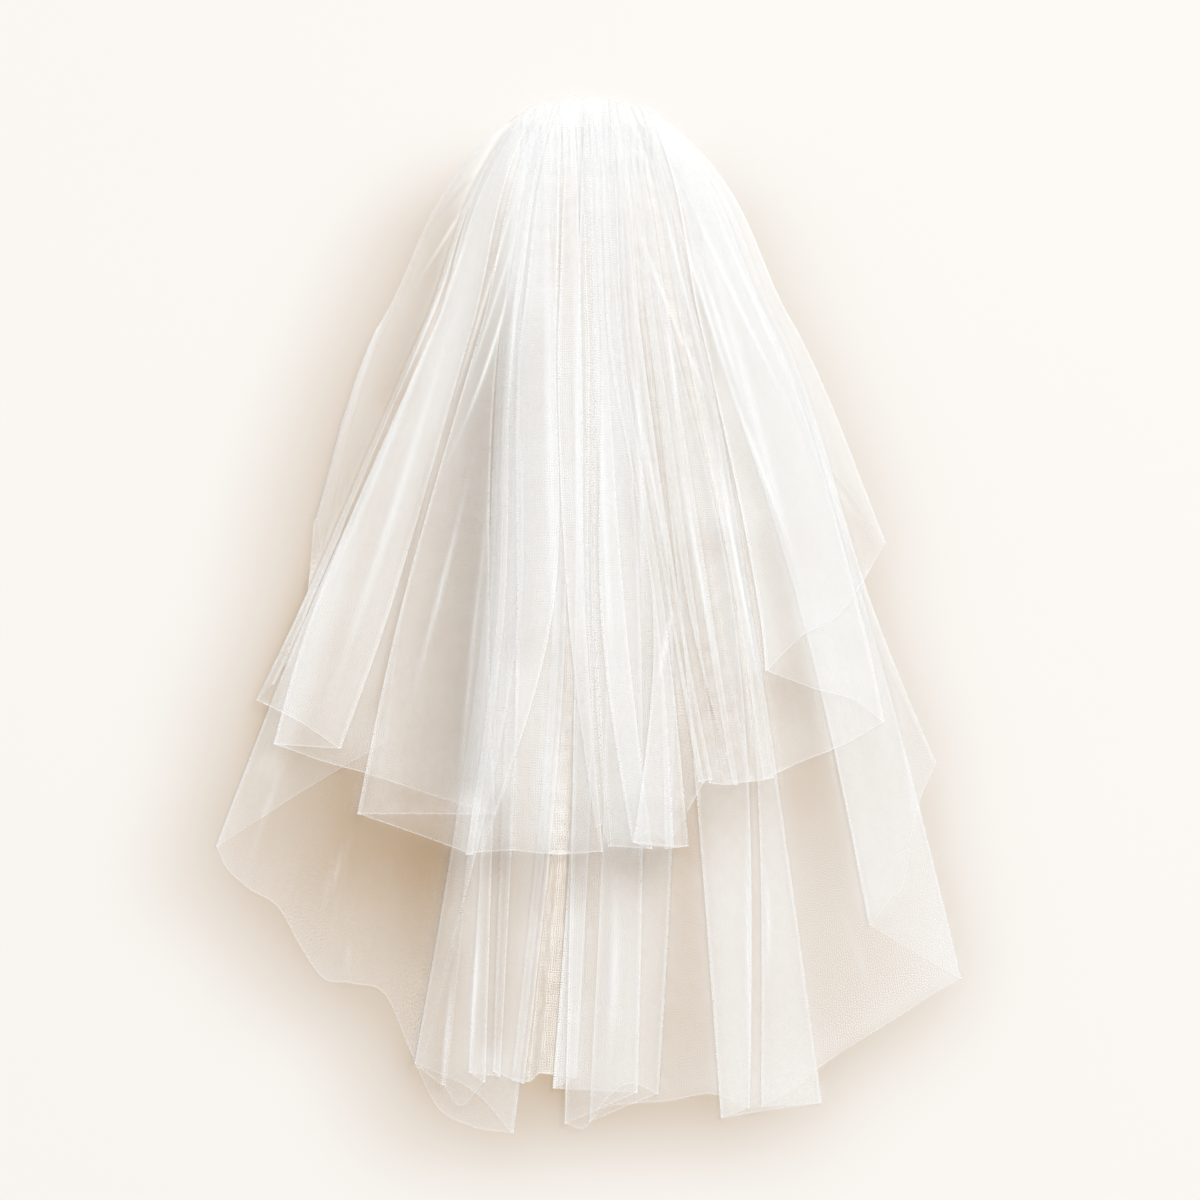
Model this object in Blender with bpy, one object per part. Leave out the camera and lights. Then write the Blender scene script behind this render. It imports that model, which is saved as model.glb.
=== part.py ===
"""Two-tier bridal veil of gathered tulle, laid flat on its back.

Metres, +Z up. The gathered head points to +Y and the hems to -Y. The veil rests on the plane
z = 0, and the origin is the middle of the footprint.

Each tier is one cloth wall. It runs from the left side edge to the right side edge over a row of
lengthwise folds. At the head the folds stand side by side as gathers. Towards the hem they spread
into a fan and lie on each other as pleats, one level of height for each layer of cloth.
"""
import math

import bmesh
import bpy
import numpy as np

MM = 0.001

# Driving dimensions.
WALL = 1.0 * MM             # thickness of the cloth wall
LAYER = 1.8 * MM            # height from one level of cloth to the next
FOLD_RADIUS = 1.6 * MM      # how far a fold turns in from its edge
TURN_SHARE = 0.25           # the most of a run that one turn may take
SEAM_GAP = 0.3 * MM         # clearance between pieces that are sewn together

HEAD_HALF = 54.0 * MM       # half the width of the gathered head
HEAD_Y = 387.0 * MM         # top of the gathered head
HEAD_ARCH = 13.0 * MM       # how far the head drops at its two ends
SHOULDER_Y = 215.0 * MM     # line where the tables give a fold's shoulder
WAIST_Y = 0.0               # line where the tables give a fold's waist
BELL = 1.1                  # how much faster the folds spread at the head than a straight line

GATHER_HEIGHT = 3.0 * MM    # what a gather adds to its levels at the head
GATHER_END = 50.0 * MM      # the gathers keep their height this far below the head
GATHER_FADE = 190.0 * MM    # and sink to the pleats' levels over this length
FOLD_SOFTNESS = 0.12        # share of a level by which two layers draw together at a fold
HEM_ROOM = 2.0              # head width of a run that has hem points, next to 1 for a plain run
TUCK_BACK = -0.5            # and of a run that goes back under or over the one before it

COMB_THICKNESS = 2.4 * MM
COMB_HALF = 50.0 * MM       # half the comb's width
COMB_SPINE = 6.0 * MM       # depth of the comb's spine
COMB_TEETH = 20
TOOTH_LENGTH = 34.0 * MM
TOOTH_ROOT = 2.6 * MM       # width of a tooth at the spine
TOOTH_TIP = 1.2 * MM        # and at its tip

TOP_LEVEL = 6.3             # highest level of the lower tier
LOWER_HEAD = COMB_THICKNESS + SEAM_GAP + WALL / 2 + 0.4 * MM
UPPER_HEAD = LOWER_HEAD + TOP_LEVEL * LAYER + GATHER_HEIGHT + WALL + SEAM_GAP + 0.4 * MM
UPPER_BASE = TOP_LEVEL * LAYER + WALL + SEAM_GAP + WALL / 2 + 0.4 * MM
UPPER_SIDE = 8.5 * MM       # height of the upper tier's lowest layer at its sides
MOUND_MIDDLE = -10.0 * MM   # the pile is high this far to each side of its middle
MOUND_HALF = 80.0 * MM
MOUND_FADE = 120.0 * MM     # and sinks to its sides over this length

# Sections along a fold, from head (0) to hem (1).
UPPER_STATIONS = (0.0, 0.03, 0.07, 0.12, 0.18, 0.26, 0.35, 0.45, 0.57, 0.71, 0.84, 0.88, 1.0)
LOWER_STATIONS = (0.0, 0.03, 0.07, 0.12, 0.18, 0.26, 0.35, 0.45, 0.56, 0.675, 0.79, 0.828, 0.91, 1.0)

# One row for each fold, from the left side edge to the right, in millimetres:
# name, x at the shoulder line, x at the waist line, x and y of its end at the hem, and the level
# of the cloth that comes into the fold and of the cloth that leaves it. A row with no shoulder is
# a point of the hem between two folds. A fold that ends above the waist line has no waist.
UPPER_FOLDS = (
    ("side_edge_left", -153, None, -199, 51, 1, 1),
    ("outer_left", -159, None, -204, 73, 1, 0),
    ("hem", None, None, -206, 50, 0, 0),
    ("tuck_left", -120.5, -213.5, -236, -50, 0, 1),
    ("left_leaf", -125, -219, -249, -62, 1, 2),
    ("hem", None, None, -216, -78, 2, 2),
    ("left_front_right", -87, -150, -185, -98, 2, 1),
    ("left_front_left", -116, -208, -236, -95, 1, 0),
    ("hem", None, None, -195, -109, 0, 0),
    ("hem", None, None, -169, -116, 0, 0),
    ("hem", None, None, -119, -132, 0, 0),
    ("under_second", -66, -74, -69, -147, 0, 1),
    ("hem", None, None, -125, -147, 1, 1),
    ("second_left", -81, -142, -173, -147, 1, 2),
    ("hem", None, None, -125, -163, 2, 2),
    ("under_third", -55, -63, -86, -177, 2, 3),
    ("third_left", -60, -69, -92, -177, 3, 4.2),
    ("third_right", -24, -27, -81, -175, 4.2, 3.3),
    ("centre_left", -51, -54, -57, -174, 2.3, 1),
    ("hem", None, None, -26, -177, 0, 0),
    ("centre_right", -5, -2, 11, -175, 0, 1),
    ("ribbon_left", -23, -15, 5, -157, 1, 2),
    ("ribbon_right", 0, 0, 9, -155, 2, 2),
    ("ribbon_foot", 4, 4, 16, -171, 0, 0),
    ("under_fourth", 13, 28, 48, -173, 0, 1),
    ("fourth_left", 9, 9, 32, -168, 1, 2),
    ("hem", None, None, 45, -160, 2, 2),
    ("under_flip", 17, 52, 64, -171, 2, 3),
    ("flip_left", 13.5, 48, 33, -168, 3, 4),
    ("hem", None, None, 55, -171, 4, 4),
    ("fourth_right", 25, 58, 75, -171, 4, 1),
    ("fourth_back", 21, 50, 57, -173, 1, 0),
    ("under_fifth", 30, 64, 87, -124, 0, 1),
    ("fifth_left", 27, 61, 82, -123, 1, 2),
    ("fifth_right", 39, 70, 93, -121, 2, 1),
    ("fifth_back", 35, 67, 90, -124, 1, 0),
    ("under_sixth", 51, 81, 100, -125, 0, 0.7),
    ("sixth_left", 46, 76, 108, -125, 1.3, 2),
    ("sixth_right", 59, 93, 112, -125, 2, 1),
    ("sixth_back", 55, 87, 107, -124, 1, 0),
    ("seventh_foot", 62, 98, 121, -123, 0, 0),
    ("seventh_rise", 66, 106, 125, -122, 2, 2),
    ("seventh_right", 76, 120, 139, -120, 2, 1),
    ("seventh_left", 70, 112, 130, -121, 1, 0),
    ("hem", None, None, 159, -108, 0, 0),
    ("hem", None, None, 192, -95, 0, 0),
    ("under_wide", 138, 205, 222, -78, 0, 1),
    ("hem", None, None, 201, -63, 1, 1),
    ("hem", None, None, 168, -53, 1, 1),
    ("wide_left", 84, 128, 132, -40, 1, 2),
    ("hem", None, None, 160, -13, 2, 2),
    ("hem", None, None, 185, 0, 2, 2),
    ("hem", None, None, 206, 27, 2, 2),
    ("outer_right", 156, None, 223, 56, 2, 3),
    ("side_edge_right", 135, None, 179, 112, 3, 3),
)
LOWER_FOLDS = (
    ("side_edge_left", -89, -138, -150, -93, 1.7, 1.7),
    ("hem", None, None, -204, -124, 1.7, 1.7),
    ("outer_left", -116, -212, -280, -172, 1.7, 0),
    ("hem", None, None, -274, -186, 0, 0),
    ("hem", None, None, -258, -201, 0, 0),
    ("hem", None, None, -230, -222, 0, 0),
    ("hem", None, None, -218, -243, 0, 0),
    ("hem", None, None, -201, -269, 0, 0),
    ("hem", None, None, -177, -274, 0, 0),
    ("hem", None, None, -149, -288, 0, 0),
    ("hem", None, None, -135, -321, 0, 0),
    ("hem", None, None, -115, -364, 0, 0),
    ("hem", None, None, -89, -381, 0, 0),
    ("first_right", -24, -21, -56, -387, 0, 1),
    ("hem", None, None, -78, -362, 1, 1),
    ("narrow_left", -66, -79, -131, -334, 1, 6.3),
    ("narrow_right", -51, -51, -127, -337, 6.3, 5.4),
    ("tube_left", -63, -75, -109, -350, 4.7, 4),
    ("hem", None, None, -100, -364, 4, 4),
    ("tube_right", -55, -66, -77, -348, 4, 3),
    ("tube_back", -59, -71, -90, -341, 3, 2),
    ("under_wide", -44, -50, -66, -344, 2, 3),
    ("wide_left", -51, -60, -72, -340, 3, 4),
    ("wide_right", -23, -17, -48, -349, 4, 3),
    ("wide_back", -30, -27, -58, -347, 3, 2),
    ("step_top", -21, -18, -45, -348, 2, 2),
    ("step_foot", -15, -12, -36, -342, 0, 0),
    ("under_behind", -6, 4, -9, -345, 0, 1),
    ("behind_left", -12, -7, -27, -353, 1, 2),
    ("under_centre", 24, 39, 37, -356, 2, 2.7),
    ("centre_left", -9, -10, -18, -379, 3.3, 4),
    ("hem", None, None, -3, -382, 4, 4),
    ("hem", None, None, 11, -363, 4, 4),
    ("hem", None, None, 30, -349, 4, 4),
    ("centre_right", 39, 63, 53, -357, 4, 1),
    ("centre_back", 3, 13, 0, -378, 1, 0),
    ("hem", None, None, 12, -368, 0, 0),
    ("hem", None, None, 30, -365, 0, 0),
    ("hem", None, None, 58, -363, 0, 0),
    ("hem", None, None, 97, -358, 0, 0),
    ("under_right", 63, 110, 121, -368, 0, 1),
    ("right_left", 45, 69, 99, -375, 1, 2),
    ("hem", None, None, 123, -371, 2, 2),
    ("right_right", 84, 123, 175, -364, 2, 1),
    ("right_back", 70, 116, 129, -367, 1, 0),
    ("hem", None, None, 151, -354, 0, 0),
    ("hem", None, None, 172, -338, 0, 0),
    ("hem", None, None, 210, -313, 0, 0),
    ("hem", None, None, 237, -297, 0, 0),
    ("hem", None, None, 260, -282, 0, 0),
    ("outer_right", 140, 210, 280, -271, 0, 1),
    ("hem", None, None, 240, -248, 1, 1),
    ("big_left", 92, 160, 210, -231, 1, 2),
    ("hem", None, None, 225, -211, 2, 2),
    ("hem", None, None, 238, -191, 2, 2),
    ("hem", None, None, 242, -165, 2, 2),
    ("side_fold_right", 145, 216, 261, -109, 2, 3),
    ("side_edge_right", 136, 207, 253, -99, 3, 3),
)

# Soft crests where the lower tier lifts off the floor at its hem, in millimetres:
# name, x and y of the upper end, x and y at the hem, height at the hem, half of the width.
CRESTS = (
    ("left_crest", -250, -176, -258, -201, 4.5, 15),
    ("second_crest", -184, -155, -218, -243, 6.5, 16),
    ("third_crest", -170, -205, -177, -274, 5.5, 16),
    ("right_crest", 188, -236, 210, -313, 4.0, 18),
)


class Fold:
    """One row of a table, in metres."""

    def __init__(self, row):
        name, shoulder, waist, hem_x, hem_y, level_in, level_out = row
        self.name = name
        self.is_fold = shoulder is not None
        self.shoulder = None if shoulder is None else shoulder * MM
        self.waist = None if waist is None else waist * MM
        self.hem = (hem_x * MM, hem_y * MM)
        self.levels = (level_in, level_out)


def clamp(value, low, high):
    return max(low, min(high, value))


def smoothstep(value):
    value = clamp(value, 0.0, 1.0)
    return value * value * (3.0 - 2.0 * value)


def head_line(x):
    """The y of the gathered edge at x."""
    return HEAD_Y - HEAD_ARCH * (x / HEAD_HALF) ** 2


def hermite(x0, x1, slope0, slope1, length, t):
    """A cubic from x0 to x1 over a length, with its slopes per metre at both ends."""
    t2, t3 = t * t, t * t * t
    return ((2 * t3 - 3 * t2 + 1) * x0 + (t3 - 2 * t2 + t) * length * slope0
            + (3 * t2 - 2 * t3) * x1 + (t3 - t2) * length * slope1)


def fold_x(fold, y):
    """The x of a fold at y: a bell curve to the shoulder, then a cubic through waist and hem."""
    head_y = head_line(fold.head)
    drop = head_y - SHOULDER_Y
    if y >= SHOULDER_Y:
        t = clamp((head_y - y) / drop, 0.0, 1.0)
        return fold.head + (fold.shoulder - fold.head) * t * (1.0 + BELL * (1.0 - t) ** 2)
    above = (fold.shoulder - fold.head) / drop
    hem_x, hem_y = fold.hem
    if fold.waist is None or hem_y > WAIST_Y - 20 * MM:
        length = SHOULDER_Y - hem_y
        slope = (hem_x - fold.shoulder) / length
        return hermite(fold.shoulder, hem_x, (above + slope) / 2, slope, length, (SHOULDER_Y - y) / length)
    upper = SHOULDER_Y - WAIST_Y
    lower = WAIST_Y - hem_y
    slope_upper = (fold.waist - fold.shoulder) / upper
    slope_lower = (hem_x - fold.waist) / lower
    slope_waist = (slope_upper + slope_lower) / 2
    if y >= WAIST_Y:
        return hermite(fold.shoulder, fold.waist, (above + slope_upper) / 2, slope_waist,
                       upper, (SHOULDER_Y - y) / upper)
    return hermite(fold.waist, hem_x, slope_waist, 1.5 * slope_lower - 0.5 * slope_waist,
                   lower, (WAIST_Y - y) / lower)


def place_heads(folds):
    """Packs the folds along the head, and finds the folds on each side of a hem point."""
    real = [fold for fold in folds if fold.is_fold]
    places = [0.0]
    for before, after in zip(real, real[1:]):
        step = 1.0 if folds.index(after) == folds.index(before) + 1 else HEM_ROOM
        if after.shoulder < before.shoulder:
            step = TUCK_BACK
        places.append(places[-1] + step)
    start, width = min(places), max(places) - min(places)
    for fold, place in zip(real, places):
        fold.head = HEAD_HALF * (2 * (place - start) / width - 1)
    for before, after in zip(real, real[1:]):
        points = folds[folds.index(before) + 1:folds.index(after)]
        span = after.hem[0] - before.hem[0]
        for index, point in enumerate(points):
            point.sides = (before, after)
            point.hem_share = clamp((point.hem[0] - before.hem[0]) / span, 0.04, 0.96)
            point.head_share = 0.25 + 0.5 * (index + 0.5) / len(points)


def path_point(fold, station):
    """The place (x, y) of a fold or a hem point at a station."""
    if fold.is_fold:
        y = head_line(fold.head) + (fold.hem[1] - head_line(fold.head)) * station
        return fold_x(fold, y), y
    before, after = fold.sides
    share = fold.head_share + (fold.hem_share - fold.head_share) * smoothstep(station / 0.6)
    x0, y0 = path_point(before, station)
    x1, y1 = path_point(after, station)
    end_x = before.hem[0] + (after.hem[0] - before.hem[0]) * share
    end_y = before.hem[1] + (after.hem[1] - before.hem[1]) * share
    pull = station ** 3
    x = x0 + (x1 - x0) * share + (fold.hem[0] - end_x) * pull
    y = y0 + (y1 - y0) * share + (fold.hem[1] - end_y) * pull
    return x, y


def gather(fold):
    """What the gathers add to a fold at the head, where they alternate high and low."""
    if fold.is_fold:
        return GATHER_HEIGHT * clamp(sum(fold.levels) / 2 - 0.5, 0.0, 1.0)
    before, after = fold.sides
    return gather(before) + (gather(after) - gather(before)) * fold.head_share


def lower_base(x, y):
    """Height of the lower tier's lowest layer, which lies on the floor but for its crests."""
    rise = 0.0
    for _, top_x, top_y, hem_x, hem_y, lift, half in CRESTS:
        run_x, run_y = (hem_x - top_x) * MM, (hem_y - top_y) * MM
        length = math.hypot(run_x, run_y)
        along = ((x - top_x * MM) * run_x + (y - top_y * MM) * run_y) / length
        aside = ((x - top_x * MM) * run_y - (y - top_y * MM) * run_x) / length
        rise += lift * MM * smoothstep(along / length) * math.exp(-(aside / (half * MM)) ** 2)
    return WALL / 2 + rise


def upper_base(x, y):
    """Height of the upper tier's lowest layer, which lies over the mound of the lower tier."""
    outside = (abs(x - MOUND_MIDDLE) - MOUND_HALF) / MOUND_FADE
    return UPPER_BASE + (UPPER_SIDE - UPPER_BASE) * smoothstep(outside)


def height(fold, side, x, y, head_base, base):
    """Height of the cloth's middle on one side of a fold, from the gathers down to its level."""
    level = fold.levels[side]
    sink = smoothstep((HEAD_Y - y - GATHER_END) / GATHER_FADE)
    jump = fold.levels[1 - side] - level
    if level > 0 and abs(jump) >= 1:
        level += math.copysign(FOLD_SOFTNESS, jump)
    return head_base + (base(x, y) - head_base) * sink + level * LAYER + gather(fold) * (1.0 - sink)


def section(folds, station, head_base, base):
    """Points across the tier at one station. A fold has two, set in from its edge."""
    places = [path_point(fold, station) for fold in folds]
    points = []
    for index, fold in enumerate(folds):
        x, y = places[index]
        if not fold.is_fold or index in (0, len(folds) - 1):
            points.append((x, y, height(fold, 0, x, y, head_base, base)))
            continue
        run_in = x - places[index - 1][0]
        run_out = places[index + 1][0] - x
        turn_in = clamp(TURN_SHARE * run_in, -FOLD_RADIUS, FOLD_RADIUS)
        turn_out = clamp(TURN_SHARE * run_out, -FOLD_RADIUS, FOLD_RADIUS)
        points.append((x - turn_in, y, height(fold, 0, x, y, head_base, base)))
        points.append((x + turn_out, y, height(fold, 1, x, y, head_base, base)))
    return points


def unit(vectors):
    return vectors / np.maximum(np.linalg.norm(vectors, axis=-1, keepdims=True), 1e-12)


def along_directions(grid):
    """Direction of each column of a grid of points at each of its points."""
    steps = unit(np.diff(grid, axis=0))
    return unit(np.concatenate([steps[:1], steps]) + np.concatenate([steps, steps[-1:]]))


def wall_offsets(grid):
    """What takes a grid of points from the middle of the wall to its face, mitred at the folds."""
    along = along_directions(grid)
    steps = np.diff(grid, axis=1)
    square = []
    for side in (np.concatenate([steps[:, :1], steps], axis=1),
                 np.concatenate([steps, steps[:, -1:]], axis=1)):
        square.append(unit(side - along * np.sum(side * along, axis=-1, keepdims=True)))
    before, after = square
    cosine = np.sum(before * after, axis=-1, keepdims=True)
    mitre = 1.0 / np.sqrt(np.clip((1.0 + cosine) / 2.0, 0.45, 1.0))
    return np.cross(along, unit(before + after)) * mitre * WALL / 2


def wall_from_grid(name, grid, material):
    """A closed wall of thickness WALL on both sides of a grid of points."""
    offset = wall_offsets(grid)
    sheets = [grid + offset, grid - offset]
    mesh = bmesh.new()
    rows, columns = grid.shape[:2]
    sides = []
    for sheet in sheets:
        sheet[..., 2] = np.maximum(sheet[..., 2], 0.0)
        sides.append([[mesh.verts.new(point) for point in row] for row in sheet])
    front, back = sides
    for i in range(rows - 1):
        for j in range(columns - 1):
            corners = ((i, j), (i + 1, j), (i + 1, j + 1), (i, j + 1))
            falling = np.linalg.norm(grid[i, j] - grid[i + 1, j + 1])
            rising = np.linalg.norm(grid[i + 1, j] - grid[i, j + 1])
            order = ((0, 1, 2), (0, 2, 3)) if falling < rising else ((0, 1, 3), (1, 2, 3))
            for triangle in order:
                places = [corners[corner] for corner in triangle]
                mesh.faces.new([front[row][column] for row, column in places])
                mesh.faces.new([back[row][column] for row, column in reversed(places)])
    for j in range(columns - 1):
        mesh.faces.new((front[0][j], front[0][j + 1], back[0][j + 1], back[0][j]))
        mesh.faces.new((front[-1][j], back[-1][j], back[-1][j + 1], front[-1][j + 1]))
    for i in range(rows - 1):
        mesh.faces.new((front[i][0], back[i][0], back[i + 1][0], front[i + 1][0]))
        mesh.faces.new((front[i][-1], front[i + 1][-1], back[i + 1][-1], back[i][-1]))
    bmesh.ops.triangulate(mesh, faces=mesh.faces)
    bmesh.ops.recalc_face_normals(mesh, faces=mesh.faces)
    return add_object(name, mesh, material)


def add_object(name, mesh, material):
    data = bpy.data.meshes.new(name)
    mesh.to_mesh(data)
    mesh.free()
    data.materials.append(material)
    data.shade_smooth()
    data.set_sharp_from_angle(angle=math.radians(40))
    piece = bpy.data.objects.new(name, data)
    bpy.context.scene.collection.objects.link(piece)
    return piece


def make_material(name, colour, roughness, metallic=0.0):
    material = bpy.data.materials.new(name)
    material.use_nodes = True
    shader = material.node_tree.nodes["Principled BSDF"]
    shader.inputs["Base Color"].default_value = (*colour, 1.0)
    shader.inputs["Roughness"].default_value = roughness
    shader.inputs["Metallic"].default_value = metallic
    return material


def make_tier(name, table, stations, head_base, base, material):
    """One tier: its folds swept from the gathered head to the hem as a cloth wall."""
    folds = [Fold(row) for row in table]
    place_heads(folds)
    grid = np.array([section(folds, station, head_base, base) for station in stations])
    return wall_from_grid(name, grid, material)


def make_comb(material):
    """The comb under the head: a spine and a row of tapered teeth, cut from one plate."""
    top = head_line(COMB_HALF) - 2 * MM
    root = top - COMB_SPINE
    pitch = (2 * COMB_HALF - TOOTH_ROOT) / (COMB_TEETH - 1)
    outline = [(COMB_HALF, top), (-COMB_HALF, top)]
    for tooth in range(COMB_TEETH):
        x = -COMB_HALF + TOOTH_ROOT / 2 + tooth * pitch
        outline.append((x - TOOTH_ROOT / 2, root))
        outline.append((x - TOOTH_TIP / 2, root - TOOTH_LENGTH))
        outline.append((x + TOOTH_TIP / 2, root - TOOTH_LENGTH))
        outline.append((x + TOOTH_ROOT / 2, root))
    mesh = bmesh.new()
    plate = mesh.faces.new([mesh.verts.new((x, y, 0.0)) for x, y in outline])
    grown = bmesh.ops.extrude_face_region(mesh, geom=[plate])
    risen = [item for item in grown["geom"] if isinstance(item, bmesh.types.BMVert)]
    bmesh.ops.translate(mesh, verts=risen, vec=(0.0, 0.0, COMB_THICKNESS))
    bmesh.ops.triangulate(mesh, faces=mesh.faces)
    bmesh.ops.recalc_face_normals(mesh, faces=mesh.faces)
    return add_object("comb", mesh, material)


def main():
    for item in list(bpy.data.objects):
        bpy.data.objects.remove(item, do_unlink=True)
    make_comb(make_material("comb_plastic", (0.86, 0.85, 0.82), 0.25))
    make_tier("lower_tier", LOWER_FOLDS, LOWER_STATIONS, LOWER_HEAD, lower_base,
              make_material("lower_tulle", (0.93, 0.92, 0.89), 0.6))
    make_tier("upper_tier", UPPER_FOLDS, UPPER_STATIONS, UPPER_HEAD, upper_base,
              make_material("upper_tulle", (0.96, 0.95, 0.93), 0.6))


main()
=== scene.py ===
"""Looks of the two-tier bridal veil, laid flat under a camera that looks straight down on it.

Each tier is one thin sheet over its solid's row of folds. Attributes of its mesh say how much cloth
lies at each place and how far it is shaded. The floor's soft shade is an attribute too.
"""
import math

import bpy
import numpy as np
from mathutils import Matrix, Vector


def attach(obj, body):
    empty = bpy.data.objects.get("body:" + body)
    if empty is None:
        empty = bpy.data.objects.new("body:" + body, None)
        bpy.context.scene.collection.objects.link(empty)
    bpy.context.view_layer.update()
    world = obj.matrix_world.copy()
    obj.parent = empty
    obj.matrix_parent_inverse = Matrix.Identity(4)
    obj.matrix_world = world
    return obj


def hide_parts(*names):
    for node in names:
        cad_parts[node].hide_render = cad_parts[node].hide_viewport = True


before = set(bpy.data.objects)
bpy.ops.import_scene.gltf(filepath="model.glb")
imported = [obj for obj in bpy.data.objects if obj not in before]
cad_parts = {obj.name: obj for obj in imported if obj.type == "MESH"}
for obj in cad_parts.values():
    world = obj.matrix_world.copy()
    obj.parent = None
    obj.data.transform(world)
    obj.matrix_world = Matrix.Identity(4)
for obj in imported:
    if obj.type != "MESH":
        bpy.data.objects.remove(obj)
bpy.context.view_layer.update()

MM = 0.001

# ---- the veil's form, as in the CAD
CLOTH_Z = 0.5 * MM          # height of the lowest layer's middle over the floor
LAYER = 1.8 * MM            # height from one level of cloth to the next
HEAD_HALF = 54.0 * MM       # half the width of the gathered head
HEAD_Y = 387.0 * MM         # top of the gathered head
HEAD_ARCH = 13.0 * MM       # how far the head drops at its two ends
SHOULDER_Y = 215.0 * MM     # line where the tables give a fold's shoulder
WAIST_Y = 0.0               # line where the tables give a fold's waist
WAIST_LEAST = 20.0 * MM     # how far below the waist a fold ends at the least, to have one
BELL = 1.1                  # how much faster the folds spread at the head than a straight line
GATHER_HEIGHT = 1.2 * MM    # what a gather adds to its levels at the head
GATHER_END = 50.0 * MM      # the gathers keep their height this far below the head
GATHER_FADE = 190.0 * MM    # and sink to the pleats' levels over this length
FOLD_SOFTNESS = 0.12        # share of a level by which two layers draw together at a fold
HEM_ROOM = 2.0              # head width of a run that has hem points, next to 1 for a plain run
TUCK_BACK = -0.5            # and of a run that goes back under or over the one before it
HEM_SHARES = (0.04, 0.96)   # shares of a run between which its hem points lie
LOWER_HEAD = 3.6 * MM       # height of the lower tier's lowest layer at the head
UPPER_HEAD = 19.64 * MM     # and of the upper tier's
UPPER_BASE = 13.54 * MM     # the same over the lower tier's pile
UPPER_SIDE = 8.5 * MM       # and at its sides
MOUND_MIDDLE = -10.0 * MM   # the middle of the pile's high part
MOUND_HALF = 80.0 * MM      # which reaches this far to each side
MOUND_FADE = 120.0 * MM     # and sinks to its sides over this length

# name, x at the shoulder, x at the waist, x and y at the hem, level coming in, level going out (mm)
# A row named hem has the level and the points of the hem between two folds.
UPPER_FOLDS = (
    ("side_edge_left", -153, None, -199, 51, 1, 1),
    ("outer_left", -159, None, -204, 73, 1, 0),
    ("hem", 0, (-206, 50)),
    ("tuck_left", -120.5, -213.5, -236, -50, 0, 1),
    ("left_leaf", -125, -219, -249, -62, 1, 2),
    ("hem", 2, (-216, -78)),
    ("left_front_right", -87, -150, -185, -98, 2, 1),
    ("left_front_left", -116, -208, -236, -95, 1, 0),
    ("hem", 0, (-195, -109), (-169, -116), (-119, -132)),
    ("under_second", -66, -74, -69, -147, 0, 1),
    ("hem", 1, (-125, -147)),
    ("second_left", -81, -142, -173, -147, 1, 2),
    ("hem", 2, (-125, -163)),
    ("under_third", -55, -63, -86, -177, 2, 3),
    ("third_left", -60, -69, -92, -177, 3, 4.2),
    ("third_right", -24, -27, -81, -175, 4.2, 3.3),
    ("centre_left", -51, -54, -57, -174, 2.3, 1),
    ("hem", 0, (-26, -177)),
    ("centre_right", -5, -2, 11, -175, 0, 1),
    ("ribbon_left", -23, -15, 5, -157, 1, 2),
    ("ribbon_right", 0, 0, 9, -155, 2, 2),
    ("ribbon_foot", 4, 4, 16, -171, 0, 0),
    ("under_fourth", 13, 28, 48, -173, 0, 1),
    ("fourth_left", 9, 9, 32, -168, 1, 2),
    ("hem", 2, (45, -160)),
    ("under_flip", 17, 52, 64, -171, 2, 3),
    ("flip_left", 13.5, 48, 33, -168, 3, 4),
    ("hem", 4, (55, -171)),
    ("fourth_right", 25, 58, 75, -171, 4, 1),
    ("fourth_back", 21, 50, 57, -173, 1, 0),
    ("under_fifth", 30, 64, 87, -124, 0, 1),
    ("fifth_left", 27, 61, 82, -123, 1, 2),
    ("fifth_right", 39, 70, 93, -121, 2, 1),
    ("fifth_back", 35, 67, 90, -124, 1, 0),
    ("under_sixth", 51, 81, 100, -125, 0, 0.7),
    ("sixth_left", 46, 76, 108, -125, 1.3, 2),
    ("sixth_right", 59, 93, 112, -125, 2, 1),
    ("sixth_back", 55, 87, 107, -124, 1, 0),
    ("seventh_foot", 62, 98, 121, -123, 0, 0),
    ("seventh_rise", 70, 111, 129, -122, 2, 2),
    ("seventh_right", 76, 120, 139, -120, 2, 1),
    ("seventh_left", 70, 112, 130, -121, 1, 0),
    ("hem", 0, (159, -108), (192, -95)),
    ("under_wide", 138, 205, 222, -78, 0, 1),
    ("hem", 1, (201, -63), (168, -53)),
    ("wide_left", 84, 128, 132, -40, 1, 2),
    ("hem", 2, (160, -13), (185, 0), (206, 27)),
    ("outer_right", 156, None, 223, 56, 2, 3),
    ("side_edge_right", 135, None, 179, 112, 3, 3),
)
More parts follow.
